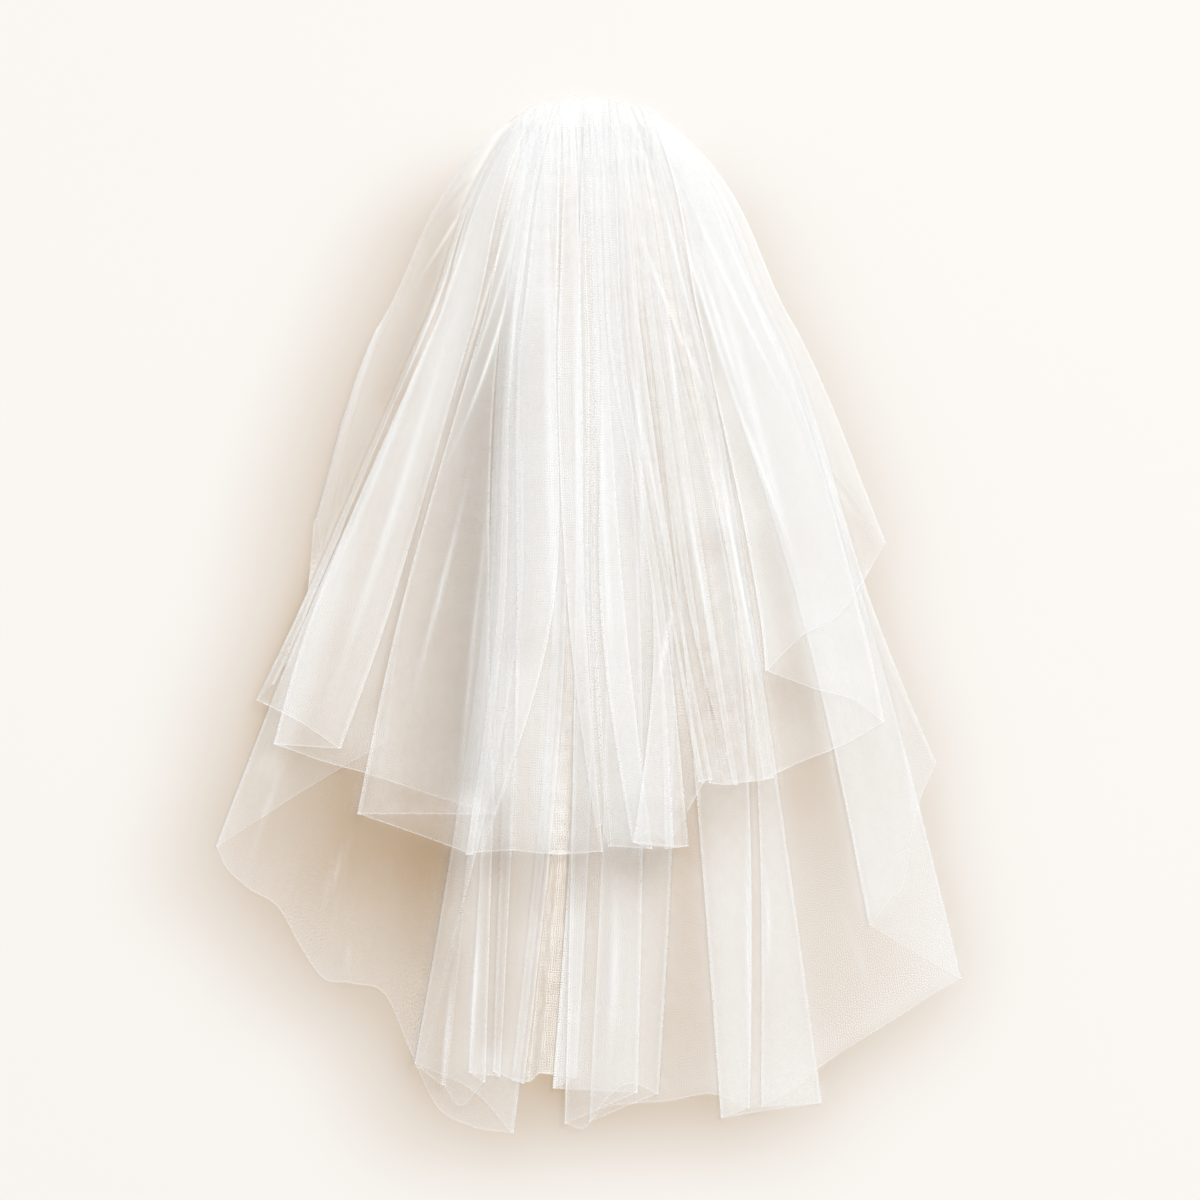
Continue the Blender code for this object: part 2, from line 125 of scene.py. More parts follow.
LOWER_FOLDS = (
    ("side_edge_left", -89, -138, -150, -93, 1.7, 1.7),
    ("hem", 1.7, (-204, -124)),
    ("outer_left", -116, -212, -280, -172, 1.7, 0),
    ("hem", 0, (-274, -186), (-258, -201), (-230, -222), (-218, -243), (-201, -269), (-177, -274),
     (-149, -288), (-135, -321), (-115, -364), (-89, -381)),
    ("first_right", -24, -21, -56, -387, 0, 1),
    ("hem", 1, (-78, -362)),
    ("narrow_left", -66, -79, -131, -334, 1, 6.3),
    ("narrow_right", -51, -51, -127, -337, 6.3, 5.4),
    ("tube_left", -63, -75, -109, -350, 4.7, 4),
    ("hem", 4, (-100, -364)),
    ("tube_right", -55, -66, -77, -348, 4, 3),
    ("tube_back", -59, -71, -90, -341, 3, 2),
    ("under_wide", -44, -50, -66, -344, 2, 3),
    ("wide_left", -51, -60, -72, -340, 3, 4),
    ("wide_right", -23, -17, -48, -349, 4, 3),
    ("wide_back", -30, -27, -58, -347, 3, 2),
    ("step_top", -21, -18, -45, -348, 2, 2),
    ("step_foot", -15, -12, -36, -342, 0, 0),
    ("under_behind", -6, 4, -9, -345, 0, 1),
    ("behind_left", -12, -7, -27, -353, 1, 2),
    ("under_centre", 24, 39, 37, -356, 2, 2.7),
    ("centre_left", -9, -10, -18, -379, 3.3, 4),
    ("hem", 4, (-3, -382), (11, -363), (30, -349)),
    ("centre_right", 39, 63, 53, -357, 4, 1),
    ("centre_back", 3, 13, 0, -378, 1, 0),
    ("hem", 0, (12, -368), (30, -365), (58, -363), (97, -358)),
    ("under_right", 63, 110, 121, -368, 0, 1),
    ("right_left", 45, 69, 99, -375, 1, 2),
    ("hem", 2, (123, -371)),
    ("right_right", 84, 123, 175, -364, 2, 1),
    ("right_back", 70, 116, 129, -367, 1, 0),
    ("hem", 0, (151, -354), (172, -338), (210, -313), (237, -297), (260, -282)),
    ("outer_right", 140, 210, 280, -271, 0, 1),
    ("hem", 1, (240, -248)),
    ("big_left", 92, 160, 210, -231, 1, 2),
    ("hem", 2, (225, -211), (238, -191), (242, -165)),
    ("side_fold_right", 145, 216, 261, -109, 2, 3),
    ("side_edge_right", 136, 207, 253, -99, 3, 3),
)
# name, x and y of the upper end, x and y at the hem, height at the hem, half of the width (mm)
CRESTS = (
    ("left_crest", -250, -176, -258, -201, 4.5, 15),
    ("second_crest", -184, -155, -218, -243, 6.5, 16),
    ("third_crest", -170, -205, -177, -274, 5.5, 16),
    ("right_crest", 188, -236, 210, -313, 4.0, 18),
)

# ---- what the looks add
ROWS = 84                   # sections from head to hem
HEM_ROWS = (3.0, 2.0, 1.0, 0.0)     # the last ones, from the hem (mm)
HEM_ROW_START = 4.5 * MM    # where those take over
COLUMN_PITCH = 2.7 * MM     # width of a column of faces at the hem
COLUMN_LIMITS = (3, 80)     # columns of a run
HEM_SAMPLES = 41            # points that measure a run's hem
HEM_CUT = 0.9               # least width of the cut, against its hem as it lies
FOLD_RADIUS = 1.3 * MM      # how far a fold rounds in from its edge
TURN_SHARE = 0.3            # the most of a run that one turn may take
FOLD_BULGE = 1.33           # puts the outermost point of a turn on the fold's line
FOLD_CLOTH = 0.4 * MM       # cloth between two points of a turn
ARC_POINTS = 5              # points round a turn
MIDDLE_SHARE = 0.2          # share of a run over which it reaches its middle level
HEAD_SQUEEZE = 0.28         # the layers' spacing at the head, against that below
TOP_CUT = 0.40              # width of the cut along its gathered edge, against its hem
MAX_LAYERS = 1.6            # most cloth that gathers lay in one place
LEAST_WIDTH = 1.5 * MM      # a run counts as no narrower than this there
LAYERS_FADE = 0.35          # share of the length over which gathers grow thick
GATHER_LAYERS = 0.8         # what the gathers at the head add to each layer
GATHER_REACH = 45.0         # how far down they do (mm)
CREASE_SLOPE = 0.15         # a narrow crease stays low
CREASE_ENDS = (0.12, 0.88)  # a crease starts and ends at these shares of half a wave
CREST_HALF = 2.5            # half of the width of a sharp crease (mm)
CREST_LAYERS = 2.4          # extra cloth along a raised crease
EDGE_LAYERS = 1.65          # extra cloth that a sharp fold shows along its edge
FLANK_SHARE = 0.55          # and the share of that which its two flanks show
HEM_LAYERS = 2.0            # extra cloth along a hem
HEM_WIDTH = 1.1 * MM        # and how wide it shows
PATH_FADE = 25.0 * MM       # a crease or band fades out over this length at its ends
BAND_START = 0.35           # a band grows to full strength over this share of its way
RUFFLE_DEPTH = 9.0 * MM     # how far down the ruffle at the head reaches
FLOOR_Z = -0.4 * MM
FLOOR_HALF = 8.0
FLOOR_SHADE = (0.415, 0.28, 0.15, 1.0)
SHADE_TOP = 285.0           # the soft shade fades out from here up, towards the light (mm)
SHADE_FADE = 105.0
# name, tiers that give it, where it falls, where the soft shade lies from them (mm), how softly it
# ends, its strength
FLOOR_SHADES = (
    ("all_round", "both", "floor", (-8.0, -10.0), 55.0, 0.42),
    ("cast", "both", "floor", (-60.0, -30.0), 30.0, 0.14),
    ("below", "both", "floor", (-8.0, -30.0), 30.0, 0.09),
    ("close", "both", "floor", (0.0, 0.0), 20.0, 0.08),
    ("stacks", "thick", "floor", (-18.0, -14.0), 10.0, 0.20),
    ("upper_tier", "upper", "veil", (-42.0, -60.0), 20.0, 0.40),
)
THICK_LAYERS = (2.2, 4.7)   # a thick stack starts and is full at these many layers
STAND_OFF = (150.0, 220.0)  # the upper tier shades from here down, over this length (mm)
LIT_CORNER = (10.0, -50.0)  # the veil's own shade is lighter right of this and below it
LIT_FADE = (120.0, 200.0)   # over these lengths (mm)
LIT_SHARE = 0.38            # by this share
UPPER_MOST = 4.0            # layers of the upper tier that give its full shade
SIDE_STAND_OFF = 0.45       # how much of the shade the flatter sides of the upper tier give
FACE_ACROSS = (0.125, 0.375, 0.625, 0.875)      # points of a face at which cloth is counted
FACE_ALONG = (0.1, 0.3, 0.5, 0.7, 0.9)
PILE_CELL = 6.0 * MM        # grid on which the layers are counted for the shades
PILE_START = -0.804
PILE_COUNT = 269            # cells each way
PILE_SPREAD = 9.0 * MM      # how softly the counted layers end
VEIL_SPREAD = 5.0 * MM      # and the outline of the veil
PILE_MOST = 6.5             # layers that count towards the pile's height
PILE_LOFT = 4.4             # room that a loose layer takes (mm)
PILE_BLUR = 13.0            # how softly the pile's height changes (mm)
LIGHT_SIDES = (-5.0, 15.0, 35.0, 60.0, 90.0)            # degrees round from +X
LIGHT_REACHES = (12.0, 20.0, 30.0, 42.0, 56.0, 75.0, 100.0, 130.0)     # mm towards the light
LIGHT_STAND = 10.0          # added to a reach, so that a near rise shades less (mm)
SHADE_GAIN = 2.0            # what a slope up towards the light gives in shade
SHADE_START = 0.15          # less this
HEM_SHIFT = (-12.0, -28.0)  # where the upper tier's hem shades the lower tier (mm)
HEM_SPREAD = 13.0           # how softly (mm)
HEM_SHADE = 0.60            # and how strongly
CLOTH_SHADE = (0.45, 0.43, 0.41, 1.0)   # the net in full shade
EDGE_HIGHLIGHT = (0.97, 0.98, 0.98, 1.0)    # painted highlight: the net's colour where folds, hems and creases double it
HIGHLIGHT_LAYERS = (2.0, 4.0)        # layers from which the painted highlight starts and at which it is full
EVEN_CELL = (1.5 * MM, 2.0 * MM)    # grid on which the cloth is evened out
EVEN_START = (-0.36, -0.45)
EVEN_COUNTS = (480, 450)
EVEN_DOWN = (0.1, 0.24, 0.32, 0.24, 0.1)    # weights along the grid
EVEN_SPREAD = 9.0 * MM      # how far round a place the cloth is looked at
EVEN_SHARE = 0.55           # how far all pleats give way to the cloth round them
EVEN_NARROW = 0.75          # and how much further narrow ones do
EVEN_LEAST = 0.3            # layers from which a place counts as cloth
EVEN_LIMITS = (0.3, 3.0)    # least and most change
EVEN_WEIGHT = 0.05          # least weight behind a mean
NARROW = 6.0 * MM           # a run is narrow up to this width
WIDE = 22.0 * MM            # and broad from this one
NARROW_EDGE = (0.03, 0.28)  # share of its edge that a narrow pleat shows, head and hem
PRESSED = 0.85              # how far narrow pleats are pressed together at the top
PRESSED_COLUMNS = 25        # columns of one such pile
PRESSED_END = (0.45, 0.4)   # where this starts to fade, and over what share of the length
GATHER_SEED = 11
GATHER_EDGE = 1.02              # where they start and end across the fan
# limits of the random draws of each one, in their order
GATHER_STEP = (0.030, 0.062)    # from one to the next, across the fan
GATHER_HALF = (0.010, 0.019)    # half of its width
GATHER_FALL = (70.0, 0.6, 1.2, 190.0)   # its reach, from two draws (mm)
GATHER_LIFT = (0.25, 0.7)       # mm
GATHER_LEAN = (-0.02, 0.02)     # across the fan
LEAN_DOWN = 200.0               # this far below the head (mm)
FAN_SPREAD = 0.882              # how the fan's half width grows below the head
FAN_POWER = 0.88

# name, points of the crease from its top to its foot (mm), lift at its middle (a trough is below
# zero), half of the width
CREASES = (
    ("flap_rib", (-110, 330), (-165, 190), (-198, 90), 0.9, 4.0),
    ("left_slit", (-78, 335), (-96, 306), (-112, 284), -1.2, 3.0),
    ("flap_line", (-83, 321), (-109, 289), (-134, 240), 1.0, 2.5),
    ("left_rib", (-85, 318), (-135, 180), (-222, -30), 1.0, 4.5),
    ("left_line_one", (-89, 298), (-119, 227), (-153, 140), 0.8, 2.5),
    ("left_line_two", (-79, 313), (-111, 231), (-147, 140), 0.7, 2.5),
    ("left_line_three", (-44, 351), (-74, 257), (-108, 140), 0.9, 2.5),
    ("left_line_four", (-44, 321), (-69, 246), (-102, 145), 0.7, 2.5),
    ("left_stack_edge", (-50, 285), (-57, 204), (-61, 135), 0.9, 2.5),
    ("left_panel_rib", (-92, 260), (-140, 60), (-205, -90), 0.7, 6.0),
    ("left_panel_trough", (-60, 330), (-112, 130), (-172, -70), -0.7, 7.0),
    ("inner_line", (-51, 287), (-66, 222), (-112, 103), 1.1, 2.5),
    ("faint_line", (-85, 125), (-108, 25), (-135, -72), 0.9, 3.0),
    ("faint_line_low", (-68, 134), (-90, 22), (-100, -184), 0.7, 3.0),
    ("centre_trough", (-48, 350), (-52, 170), (-60, 20), -0.8, 5.0),
    ("centre_rib", (-32, 370), (-30, 160), (-22, -120), 0.9, 5.0),
    ("centre_rib_right", (-12, 372), (-8, 180), (-6, -60), 0.8, 4.5),
    ("ribbon_rib", (2, 360), (8, 170), (20, -100), 0.7, 4.0),
    ("wedge_trough", (14, 330), (30, 130), (46, -60), -0.8, 5.0),
    ("flip_rib", (24, 345), (46, 120), (38, -90), 0.8, 4.0),
    ("right_slit", (57, 358), (72, 322), (84, 301), -1.2, 3.0),
    ("right_slit_low", (76, 266), (84, 230), (88, 207), -1.0, 3.0),
    ("right_line_one", (55, 358), (100, 272), (154, 150), 0.9, 2.5),
    ("right_line_two", (84, 330), (121, 264), (164, 150), 0.8, 2.5),
    ("right_line_three", (42, 357), (72, 249), (98, 140), 0.9, 2.5),
    ("right_line_four", (50, 345), (84, 238), (115, 145), 0.8, 2.5),
    ("right_line_five", (76, 285), (100, 212), (119, 148), 0.8, 2.5),
    ("right_line_six", (27, 320), (56, 238), (99, 145), 0.9, 2.5),
    ("right_line_seven", (56, 245), (63, 193), (68, 140), 0.9, 2.5),
    ("right_low_one", (31, 186), (50, 90), (65, 10), 0.8, 2.5),
    ("right_low_two", (61, 170), (77, 60), (101, -60), 0.8, 2.5),
    ("right_low_three", (91, 182), (104, 95), (131, -60), 1.2, 2.5),
    ("right_low_four", (101, 185), (129, 110), (153, 45), 1.2, 2.5),
    ("right_low_five", (66, 20), (58, -15), (48, -60), 0.8, 2.5),
    ("right_panel_rib", (70, 350), (120, 160), (170, -20), 0.8, 6.0),
    ("right_panel_trough", (92, 330), (150, 170), (190, 40), -0.8, 7.0),
    ("wide_rib", (160, 178), (178, 111), (206, 25), 1.1, 3.5),
    ("flap_fold", (177, 115), (186, 75), (222, 56), 0.8, 4.0),
    ("lower_left_fold", (-225, -100), (-245, -175), (-258, -198), 0.8, 5.0),
    ("lower_left_rib", (-173, -153), (-190, -210), (-204, -228), 0.9, 5.0),
    ("lower_left_line", (-178, -236), (-182, -262), (-180, -273), 0.8, 4.0),
    ("narrow_rib", (-99, -256), (-108, -320), (-109, -368), 0.8, 3.0),
    ("tube_rib", (-81, -218), (-86, -290), (-90, -340), 0.8, 3.0),
    ("centre_low_rib", (20, -190), (22, -270), (14, -340), 0.9, 6.0),
    ("centre_low_trough", (44, -180), (46, -260), (40, -330), -0.8, 7.0),
    ("panel_rib", (119, -125), (119, -314), (121, -370), 0.9, 3.0),
    ("panel_rib_right", (131, -177), (137, -237), (133, -278), 0.9, 3.0),
    ("panel_trough", (152, -140), (166, -260), (170, -350), -0.7, 6.0),
    ("big_fold_rib", (226, -30), (240, -120), (250, -190), 0.9, 5.0),
    ("right_back_rib", (180, -200), (205, -270), (215, -300), 0.8, 6.0),
    ("middle_back_trough", (75, -200), (84, -290), (88, -350), -0.7, 8.0),
)
# name, points of a band of net from its top to its foot (mm), how much more cloth it shows where it
# is bunched (less is below zero), how much more shade, half of the width
BANDS = (
    ("left_shadow_panel", (-60, 290), (-88, 90), (-92, -120), 0.0, 0.42, 22.0),
    ("left_edge", (-172, 90), (-205, 0), (-238, -108), 0.55, -0.20, 11.0),
    ("left_middle_panel", (-95, 200), (-118, 20), (-128, -130), -0.22, 0.15, 22.0),
    ("left_of_centre", (-30, 300), (-42, 150), (-50, -20), 0.0, 0.16, 16.0),
    ("left_gap", (-112, 150), (-134, 30), (-158, -62), -0.40, 0.10, 3.5),
    ("left_stack_side", (-57, 290), (-66, 216), (-72, 120), -0.25, 0.05, 7.0),
    ("flap_gap", (-92, 322), (-123, 253), (-147, 170), -0.20, 0.12, 10.0),
    ("left_slit_top", (-76, 340), (-100, 315), (-120, 290), -0.45, 0.10, 3.0),
    ("left_long_slit", (-46, 350), (-72, 246), (-106, 140), -0.35, 0.05, 3.0),
    ("right_slit_top", (58, 350), (72, 322), (84, 290), -0.45, 0.10, 2.5),
    ("right_slit_middle", (74, 280), (83, 238), (95, 190), -0.40, 0.10, 2.5),
    ("right_slit_inner", (56, 250), (64, 201), (73, 150), -0.35, 0.05, 2.5),
    ("right_slit_low", (60, 60), (74, -10), (88, -60), -0.35, 0.05, 3.0),
    ("left_outer_panel", (-106, 250), (-165, 20), (-208, -90), -0.32, 0.0, 24.0),
    ("centre", (-8, 380), (-8, 200), (-6, 0), 0.10, -0.15, 34.0),
    ("right_of_centre", (34, 366), (60, 250), (100, 80), 0.60, -0.50, 20.0),
    ("right_see_through", (66, 290), (83, 165), (97, 55), -0.34, 0.12, 13.0),
    ("right_panel_low", (92, -140), (106, -250), (118, -350), 0.25, 0.0, 20.0),
    ("right_pleats", (94, 120), (114, 50), (124, -30), 0.60, -0.30, 17.0),
    ("big_fold_left", (156, 70), (183, -50), (212, -205), 0.40, -0.15, 13.0),
    ("right_panel", (90, 280), (150, 120), (196, -20), -0.15, 0.0, 30.0),
    ("hem_middle", (14, -128), (14, -150), (14, -172), 0.0, 0.14, 55.0),
    ("hem_gap", (76, -136), (76, -152), (76, -172), -0.45, 0.15, 8.0),
    ("centre_low", (12, -70), (12, -95), (12, -122), 0.0, 0.06, 26.0),
    ("under_hem", (-25, -165), (-25, -185), (-25, -210), 0.0, 0.16, 28.0),
    ("low_left_slit", (-95, -230), (-108, -300), (-116, -345), -0.45, 0.10, 8.0),
    ("deep_left", (-124, -150), (-126, -200), (-128, -250), 0.0, 0.30, 22.0),
    ("right_flat", (150, -20), (158, -75), (165, -115), 0.25, 0.0, 20.0),
    ("hem_left", (-68, -120), (-68, -150), (-68, -180), 0.0, 0.40, 10.0),
    ("low_centre_left", (-28, -20), (-25, -200), (-24, -345), 1.80, -0.20, 7.5),
    ("low_centre_step", (-14, -165), (-12, -260), (-9, -345), 0.50, -0.15, 7.0),
    ("low_left_tubes", (-64, -150), (-66, -220), (-70, -310), -0.35, 0.15, 13.0),
)
# name, x (mm), how far the ruffled head edge stands up there, half of the width
RUFFLES = (
    ("left_end", -47.0, 2.0, 3.0),
    ("left_puff", -31.0, 1.5, 4.0),
    ("left_peak", -11.0, 3.2, 3.0),
    ("middle_left", -1.0, 1.6, 2.5),
    ("middle", 11.0, 1.3, 4.0),
    ("middle_right", 26.0, 1.6, 3.5),
    ("right_peak", 42.0, 2.8, 3.0),
    ("right_end", 51.0, 1.8, 2.5),
)


def smoothstep(value):
    value = np.clip(value, 0.0, 1.0)
    return value * value * (3.0 - 2.0 * value)


def mix(one, other, share):
    return one + (other - one) * share


def head_line(x):
    """The head edge's y at a place across it."""
    return HEAD_Y - HEAD_ARCH * (x / HEAD_HALF) ** 2


def hermite(x0, x1, slope0, slope1, length, t):
    """A smooth curve between two values with the slopes given, at shares t of its length."""
    t2, t3 = t * t, t * t * t
    return ((2 * t3 - 3 * t2 + 1) * x0 + (t3 - 2 * t2 + t) * length * slope0
            + (3 * t2 - 2 * t3) * x1 + (t3 - t2) * length * slope1)


class Fold:
    """A fold of the cloth from head to hem."""

    def __init__(self, shoulder, waist, hem_x, hem_y, *levels):
        self.shoulder = shoulder * MM
        self.waist = None if waist is None else waist * MM
        self.hem = (hem_x * MM, hem_y * MM)
        self.levels = levels

    def x_at(self, y):
        head_y = head_line(self.head)
        drop = head_y - SHOULDER_Y
        t = np.clip((head_y - y) / drop, 0.0, 1.0)
        top = self.head + (self.shoulder - self.head) * t * (1.0 + BELL * (1.0 - t) ** 2)
        above = (self.shoulder - self.head) / drop
        hem_x, hem_y = self.hem
        if self.waist is None or hem_y > WAIST_Y - WAIST_LEAST:
            length = SHOULDER_Y - hem_y
            slope = (hem_x - self.shoulder) / length
            below = hermite(self.shoulder, hem_x, (above + slope) / 2, slope, length,
                            (SHOULDER_Y - y) / length)
            return np.where(y >= SHOULDER_Y, top, below)
        upper = SHOULDER_Y - WAIST_Y
        lower = WAIST_Y - hem_y
        slope_upper = (self.waist - self.shoulder) / upper
        slope_lower = (hem_x - self.waist) / lower
        slope_waist = (slope_upper + slope_lower) / 2
        middle = hermite(self.shoulder, self.waist, (above + slope_upper) / 2, slope_waist, upper,
                         (SHOULDER_Y - y) / upper)
        below = hermite(self.waist, hem_x, slope_waist, 1.5 * slope_lower - 0.5 * slope_waist,
                        lower, (WAIST_Y - y) / lower)
        return np.where(y >= SHOULDER_Y, top, np.where(y >= WAIST_Y, middle, below))

    def path(self, stations):
        start = head_line(self.head)
        y = mix(start, self.hem[1], stations)
        return self.x_at(y), y

    def level(self, side):
        level = self.levels[side]
        jump = self.levels[1 - side] - level
        if level > 0 and abs(jump) >= 1:
            level += math.copysign(FOLD_SOFTNESS, jump)
        return level

    def gather(self):
        return GATHER_HEIGHT * min(1.0, max(0.0, sum(self.levels) / 2 - 0.5))


class Run:
    """The cloth between two folds, with the level and the points of its hem, if they are given."""

    def __init__(self, before, after, hem):
        self.before, self.after = before, after
        self.middle_level, *points = hem or (None,)
        line = np.array([before.hem, *([x * MM, y * MM] for x, y in points), after.hem])
        line = line - line[0]
        self.shares = np.clip(line[:, 0] / line[-1, 0], *HEM_SHARES)
        self.shares[[0, -1]] = 0.0, 1.0
        self.shifts = line - line[-1] * self.shares[:, None]
        self.levels = [before.level(1), after.level(0)]

    def shift(self, t):
        """How far the hem stands off the straight line between its folds, at shares t."""
        return [soft_curve(self.shares, self.shifts[:, axis], t) for axis in (0, 1)]


def soft_curve(knots, values, at):
    """A smooth curve through values at rising knots."""
    slopes = np.gradient(values, knots) if len(knots) > 2 else np.zeros(2)
    index = np.clip(np.searchsorted(knots, at, side="right") - 1, 0, len(knots) - 2)
    length = knots[index + 1] - knots[index]
    return hermite(values[index], values[index + 1], slopes[index], slopes[index + 1], length,
                   (at - knots[index]) / length)


def read_folds(table):
    """The folds of a table, packed along the head, and the runs between them."""
    folds, runs, places, hem = [], [], [0.0], None
    for name, *values in table:
        if name == "hem":
            hem = values
            continue
        fold = Fold(*values)
        if folds:
            before = folds[-1]
            runs.append(Run(before, fold, hem))
            room = HEM_ROOM if hem else 1.0
            places.append(places[-1] + (TUCK_BACK if fold.shoulder < before.shoulder else room))
        folds.append(fold)
        hem = None
    start, width = min(places), max(places) - min(places)
    for fold, place in zip(folds, places):
        fold.head = HEAD_HALF * (2 * (place - start) / width - 1)
    return folds, runs


def lower_base(x, y):
    """Height of the lower tier's lowest layer, with the raised creases at its hem."""
    rise = np.zeros_like(x)
    for _, top_x, top_y, hem_x, hem_y, lift, half in CRESTS:
        run_x, run_y = (hem_x - top_x) * MM, (hem_y - top_y) * MM
        length = math.hypot(run_x, run_y)
        along = ((x - top_x * MM) * run_x + (y - top_y * MM) * run_y) / length
        aside = ((x - top_x * MM) * run_y - (y - top_y * MM) * run_x) / length
        rise = rise + lift * MM * smoothstep(along / length) * np.exp(-(aside / (half * MM)) ** 2)
    return CLOTH_Z + rise


def beside_mound(x):
    """0 over the pile's high part, rising to 1 at its sides."""
    return smoothstep((np.abs(x - MOUND_MIDDLE) - MOUND_HALF) / MOUND_FADE)


def upper_base(x, y):
    """Height of the upper tier's lowest layer over the lower tier's pile."""
    return mix(UPPER_BASE, UPPER_SIDE, beside_mound(x))


def fan(x, y):
    """Where a point lies across the fan of gathers, from -1 at its left to 1 at its right."""
    half = HEAD_HALF / MM + FAN_SPREAD * ((HEAD_Y - y) / MM) ** FAN_POWER
    return x / MM / half


def along_path(x, y, top, middle, foot, half):
    """How near each point is to a bent path, and its share of the way down it."""
    top, middle, foot = (np.array(point) * MM for point in (top, middle, foot))
    share = np.clip((top[1] - y) / (top[1] - foot[1]), 0.0, 1.0)
    path_x = (1 - share) ** 2 * top[0] + 2 * share * (1 - share) * middle[0] + share ** 2 * foot[0]
    above, below = (y - top[1]) / PATH_FADE, (foot[1] - y) / PATH_FADE
    fade = (1.0 - smoothstep(above)) * (1.0 - smoothstep(below))
    return np.exp(-((x - path_x) / (half * MM)) ** 2) * fade, share


def crease_field(x, y):
    """Height that the listed creases add, the same for all layers, and how near each is."""
    height = np.zeros_like(x)
    crest = np.zeros_like(x)
    for _, top, middle, foot, lift, half in CREASES:
        near, share = along_path(x, y, top, middle, foot, half)
        near = near * np.sin(np.pi * mix(*CREASE_ENDS, share))
        height = height + math.copysign(min(abs(lift), CREASE_SLOPE * half), lift) * MM * near
        if lift > 0:
            crest = crest + CREST_LAYERS * lift * near ** 4 * CREST_HALF / half
    return height, crest


def band_field(x, y, kind):
    """What the listed bands add to the cloth shown, as a share of it, or to its shade."""
    total = np.zeros_like(x)
    for _, top, middle, foot, cloth, shade, half in BANDS:
        near, share = along_path(x, y, top, middle, foot, half)
        strength = cloth if kind == "cloth" else shade
        total = total + strength * near * smoothstep(share / BAND_START)
    return total


def ruffle(x, below):
    """How far the head edge stands up, from the small ruffle over its gathering stitches."""
    rise = np.zeros_like(x)
    for _, place, lift, half in RUFFLES:
        rise = rise + lift * MM * np.exp(-((x - place * MM) / (half * MM)) ** 2)
    return rise * np.exp(-below / RUFFLE_DEPTH)


def gather_field(x, y):
    """Height that the fine gathers add: ridges that fan out from the head and fade downwards."""
    rng = np.random.default_rng(GATHER_SEED)
    q = fan(x, y)
    below = (HEAD_Y - y) / MM
    total = np.zeros_like(x)
    place = -GATHER_EDGE
    while place < GATHER_EDGE:
        place += rng.uniform(*GATHER_STEP)
        half = rng.uniform(*GATHER_HALF)
        fall, least, most, more = GATHER_FALL
        reach = fall * rng.uniform(least, most) + more * rng.uniform() ** 3
        lift = rng.uniform(*GATHER_LIFT)
        lean = rng.uniform(*GATHER_LEAN)
        aside = (q - place - lean * below / LEAN_DOWN) / half
        total = total + lift * np.exp(-aside ** 2) * np.exp(-(below / reach) ** 1.5)
    return total * MM


def columns_of(folds, runs, stations):
    """Grids over a tier, a column for each step across its runs and round its folds.

    They hold x, y, level, the gathers' height, the cloth's thickness in layers, the whitening of an
    edge and how broad the run is. The last list holds each column's place across the cut.
    """
    paths = [fold.path(stations) for fold in folds]
    columns, flats = [], []
    pull = stations ** 3
    flat = 0.0

    def turn(span):
        return np.clip(TURN_SHARE * span, -FOLD_RADIUS, FOLD_RADIUS)

    def add(place, *values):
        flats.append(place)
        columns.append([np.broadcast_to(value, stations.shape) for value in values])

    for index, run in enumerate(runs):
        (x0, y0), (x1, y1) = paths[index], paths[index + 1]
        span = x1 - x0
        width = np.abs(span)
        across = np.linspace(0.0, 1.0, HEM_SAMPLES)
        hem = [mix(start, end, across) + shift for start, end, shift
               in zip(run.before.hem, run.after.hem, run.shift(across))]
        hem_width = np.sum(np.hypot(*np.diff(hem)))
        cut = max(float(np.max(width)), HEM_CUT * hem_width)
        cut_here = cut * mix(TOP_CUT, 1.0, stations)
        density = np.clip(cut_here / np.maximum(width, LEAST_WIDTH), 1.0, MAX_LAYERS)
        density = mix(1.0, density, smoothstep((1.0 - stations) / LAYERS_FADE))
        count = int(np.clip(math.ceil(cut / COLUMN_PITCH), *COLUMN_LIMITS))
        broad = smoothstep((width - NARROW) / (WIDE - NARROW))
        least = mix(*NARROW_EDGE, smoothstep(2 * stations - 1))
        edge = EDGE_LAYERS * mix(least, 1.0, broad)
        low, high = run.levels
        gather_low, gather_high = run.before.gather(), run.after.gather()
        for step in range(count + 1):
            t = step / count
            shift_x, shift_y = run.shift(np.array([t]))
            x = x0 + turn(span) + (span - 2 * turn(span)) * t + shift_x[0] * pull
            y = mix(y0, y1, t) + shift_y[0] * pull
            level = mix(low, high, smoothstep(t))
            middle = run.middle_level
            if middle is not None and middle != low:
                level = mix(middle, low, 1 - smoothstep(t / MIDDLE_SHARE))
                level += (high - middle) * smoothstep((t - 1 + MIDDLE_SHARE) / MIDDLE_SHARE)
            add(flat + cut * t, x, y, level, mix(gather_low, gather_high, t), density,
                FLANK_SHARE * edge if step in (0, count) else 0.0, broad)
        flat += cut
        if index == len(runs) - 1:
            continue
        fold, (xf, yf) = run.after, paths[index + 1]
        turn_in = turn(span)
        turn_out = turn(paths[index + 2][0] - x1)
        level_in, level_out = fold.level(0), fold.level(1)
        for k in range(1, ARC_POINTS + 1):
            t = k / (ARC_POINTS + 1)
            b0, b1, b2, b3 = (1 - t) ** 3, 3 * t * (1 - t) ** 2, 3 * t * t * (1 - t), t ** 3
            p_in, p_out = xf - turn_in, xf + turn_out
            x = (b0 + b1) * p_in + (b2 + b3) * p_out + FOLD_BULGE * (b1 * turn_in - b2 * turn_out)
            level = (b0 + b1) * level_in + (b2 + b3) * level_out
            add(flat + FOLD_CLOTH * k, x, yf, level, fold.gather(), density, edge, broad)
        flat += FOLD_CLOTH * (ARC_POINTS + 1)
    return [*np.array(columns).transpose(1, 2, 0), np.array(flats)]


